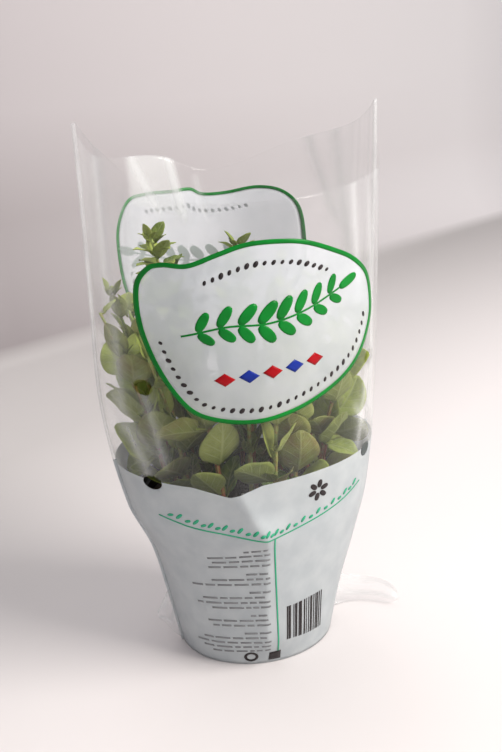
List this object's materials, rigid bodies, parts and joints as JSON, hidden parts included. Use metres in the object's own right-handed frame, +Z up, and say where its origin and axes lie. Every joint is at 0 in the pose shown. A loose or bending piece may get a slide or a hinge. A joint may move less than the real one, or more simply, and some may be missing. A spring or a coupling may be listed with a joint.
{
  "type": "potted oregano plant in a clear film sleeve",
  "caption": "Leafy oregano growing in a small round plastic pot, wrapped in a tall clear herb sleeve with an open mouth, a printed panel and a white lower band.",
  "frame": {"origin": "centre of the pot's underside, on the surface that it stands on", "axes": "+Z up, along the pot and the sleeve; -Y towards the sleeve's printed front panel; the sleeve's welded seams lie at -X and +X"},
  "size_m": [0.1646, 0.1603, 0.3005],
  "materials": {
    "pot": "satin",
    "soil": "matte",
    "leaf": "satin",
    "film": "gloss"
  },
  "bodies": {
    "root": {"pot": "pot", "soil": "soil", "stem_01": "leaf", "stem_02": "leaf", "stem_03": "leaf", "stem_04": "leaf", "stem_05": "leaf", "stem_06": "leaf", "stem_07": "leaf", "stem_08": "leaf", "stem_09": "leaf", "stem_10": "leaf", "stem_11": "leaf", "stem_12": "leaf", "stem_13": "leaf", "stem_14": "leaf", "stem_15": "leaf", "stem_16": "leaf", "stem_17": "leaf", "stem_18": "leaf", "stem_19": "leaf", "stem_20": "leaf", "stem_21": "leaf", "stem_22": "leaf", "stem_23": "leaf", "stem_24": "leaf", "stem_25": "leaf", "sleeve": "film"}
  },
  "joints": []
}
